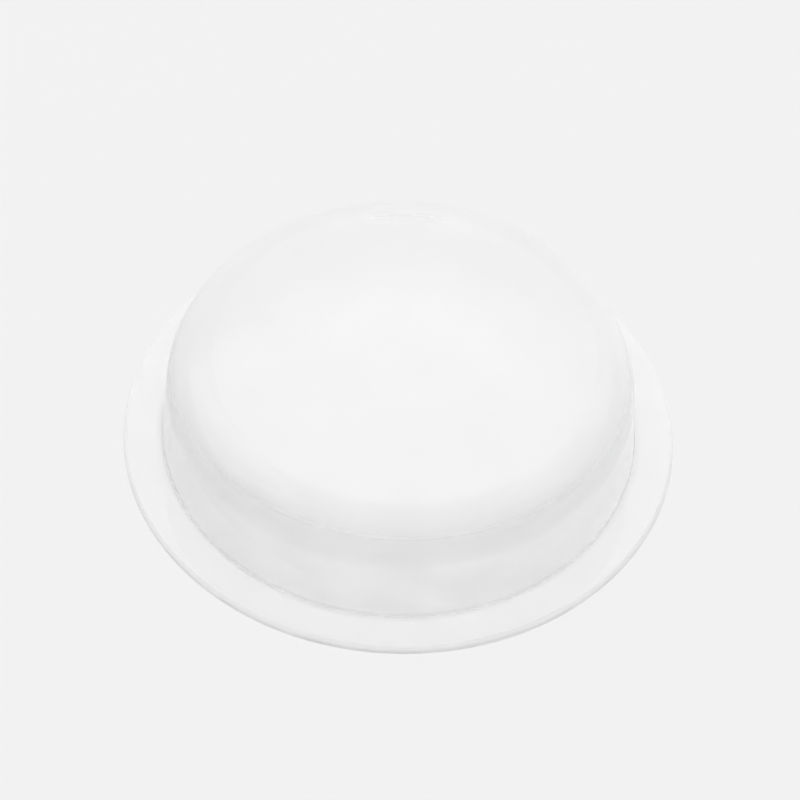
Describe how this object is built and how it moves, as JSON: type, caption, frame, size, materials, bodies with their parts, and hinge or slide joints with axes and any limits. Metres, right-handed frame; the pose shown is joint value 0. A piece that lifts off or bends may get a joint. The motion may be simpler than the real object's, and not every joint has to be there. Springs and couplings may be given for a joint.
{
  "type": "adhesive bumper foot",
  "caption": "Low round clear bumper foot with a flat contact face, a rounded shoulder, a thin lip round the base and an adhesive underside.",
  "frame": {"origin": "centre of the adhesive's underside, on the foot's axis", "axes": "+Z along the foot's axis, from the adhesive to the contact face; X and Y lie in the adhesive's underside"},
  "size_m": [0.0148, 0.0148, 0.0035],
  "materials": {
    "clear_polyurethane": "clear, glossy as moulded",
    "clear_adhesive": "clear, tacky, slightly hazy"
  },
  "bodies": {
    "root": {"moulded_foot": "clear_polyurethane", "adhesive_layer": "clear_adhesive"}
  },
  "joints": []
}
